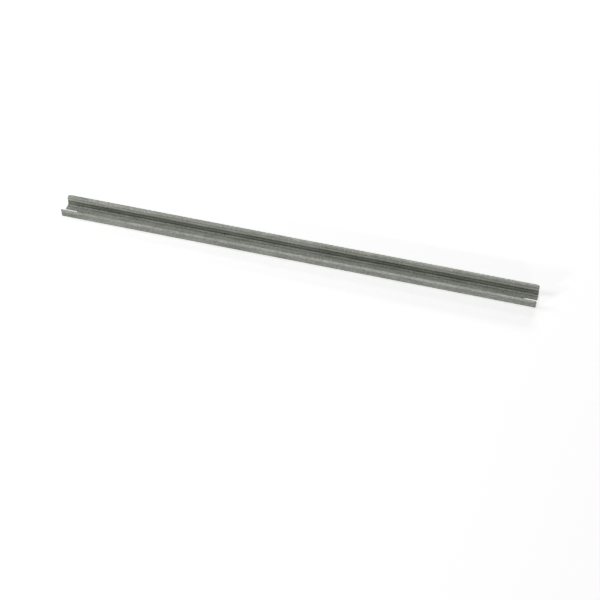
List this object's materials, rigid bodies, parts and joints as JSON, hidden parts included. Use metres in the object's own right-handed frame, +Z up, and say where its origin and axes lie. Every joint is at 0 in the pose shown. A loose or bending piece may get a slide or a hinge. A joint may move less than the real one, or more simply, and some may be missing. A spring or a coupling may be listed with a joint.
{
  "type": "din rail",
  "caption": "Straight length of top-hat mounting rail in zinc-coated steel, open side up, with an open-ended fixing slot at each end.",
  "frame": {"origin": "middle of the underside of the web, which is the rail's lowest face", "axes": "+X along the rail, +Y across it, +Z up out of the open side of the hat section"},
  "size_m": [0.685, 0.035, 0.015],
  "materials": {
    "galvanised_steel": "dull zinc coating with fine grain and faint lengthwise rolling streaks"
  },
  "bodies": {
    "root": {"rail": "galvanised_steel"}
  },
  "joints": []
}
